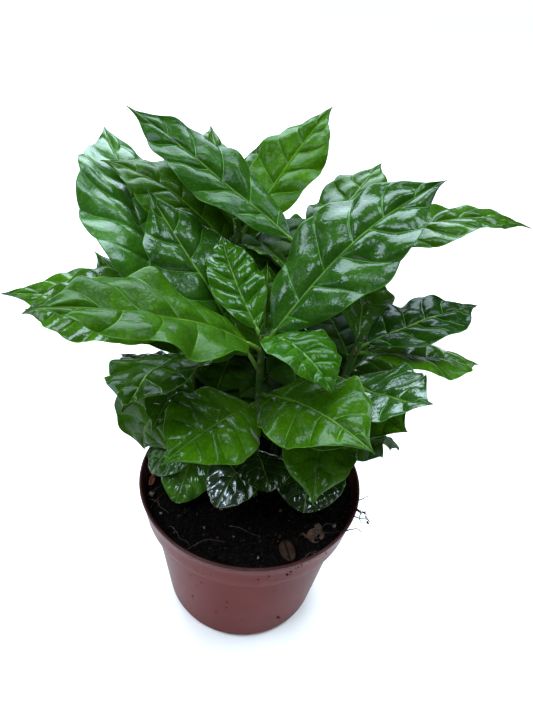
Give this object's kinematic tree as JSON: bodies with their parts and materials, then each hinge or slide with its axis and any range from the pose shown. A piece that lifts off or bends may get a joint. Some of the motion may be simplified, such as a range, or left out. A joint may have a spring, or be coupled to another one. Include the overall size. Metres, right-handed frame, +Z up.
{
  "type": "potted coffee plant",
  "caption": "Young coffee seedlings with glossy, pointed, wavy leaves, growing together in a round tapering plastic nursery pot filled with dark soil; it stands on the pot's flat underside.",
  "frame": {"origin": "centre of the pot's flat underside", "axes": "+Z up along the pot's axis; the picture's camera looks along +Y and down, with +X to its right"},
  "size_m": [0.277, 0.1939, 0.2609],
  "materials": {
    "pot": "thin thermoformed brownish-pink plastic, satin",
    "soil": "moist near-black peat with bits of husk and grit, rough",
    "stem": "green-brown young stem, dull",
    "leaf_young": "youngest leaf, yellow-green and glossy",
    "leaf_bright": "light green, glossy",
    "leaf_fresh": "fresh green, glossy",
    "leaf_mid": "mid green, glossy, quilted between its veins",
    "leaf_dark": "dark green, very glossy, quilted between its veins",
    "leaf_deep": "deep green, glossy",
    "leaf_seed": "leathery dark seed leaf, glossy with radial pleats"
  },
  "bodies": {
    "root": {"leaf_back_1": "leaf_dark", "leaf_back_2": "leaf_mid", "leaf_back_3": "leaf_mid", "leaf_back_4": "leaf_deep", "leaf_back_5": "leaf_mid", "leaf_back_6": "leaf_dark", "leaf_back_7": "leaf_mid", "leaf_back_8": "leaf_mid", "leaf_back_9": "leaf_deep", "leaf_front_1": "leaf_young", "leaf_front_2": "leaf_young", "leaf_front_3": "leaf_fresh", "leaf_front_4": "leaf_dark", "leaf_front_5": "leaf_dark", "leaf_front_6": "leaf_deep", "leaf_front_7": "leaf_mid", "leaf_front_8": "leaf_mid", "leaf_front_9": "leaf_deep", "leaf_left_1": "leaf_dark", "leaf_left_2": "leaf_mid", "leaf_left_3": "leaf_bright", "leaf_left_4": "leaf_mid", "leaf_left_5": "leaf_deep", "leaf_left_6": "leaf_deep", "leaf_left_7": "leaf_mid", "leaf_left_8": "leaf_deep", "leaf_rear_1": "leaf_deep", "leaf_rear_10": "leaf_mid", "leaf_rear_2": "leaf_bright", "leaf_rear_3": "leaf_mid", "leaf_rear_4": "leaf_fresh", "leaf_rear_5": "leaf_mid", "leaf_rear_6": "leaf_dark", "leaf_rear_7": "leaf_dark", "leaf_rear_8": "leaf_deep", "leaf_rear_9": "leaf_mid", "leaf_right_1": "leaf_dark", "leaf_right_2": "leaf_deep", "leaf_right_3": "leaf_dark", "leaf_right_4": "leaf_deep", "leaf_right_5": "leaf_deep", "leaf_right_6": "leaf_deep", "leaf_right_7": "leaf_mid", "leaf_right_8": "leaf_deep", "pot": "pot", "seed_leaf_back_1": "leaf_seed", "seed_leaf_front_1": "leaf_seed", "seed_leaf_front_2": "leaf_seed", "seed_leaf_left_1": "leaf_seed", "seed_leaf_left_2": "leaf_seed", "seed_leaf_left_3": "leaf_seed", "seed_leaf_rear_1": "leaf_seed", "seed_leaf_right_1": "leaf_seed", "seed_leaf_right_2": "leaf_seed", "soil": "soil", "stem_back": "stem", "stem_front": "stem", "stem_left": "stem", "stem_rear": "stem", "stem_right": "stem"}
  },
  "joints": []
}
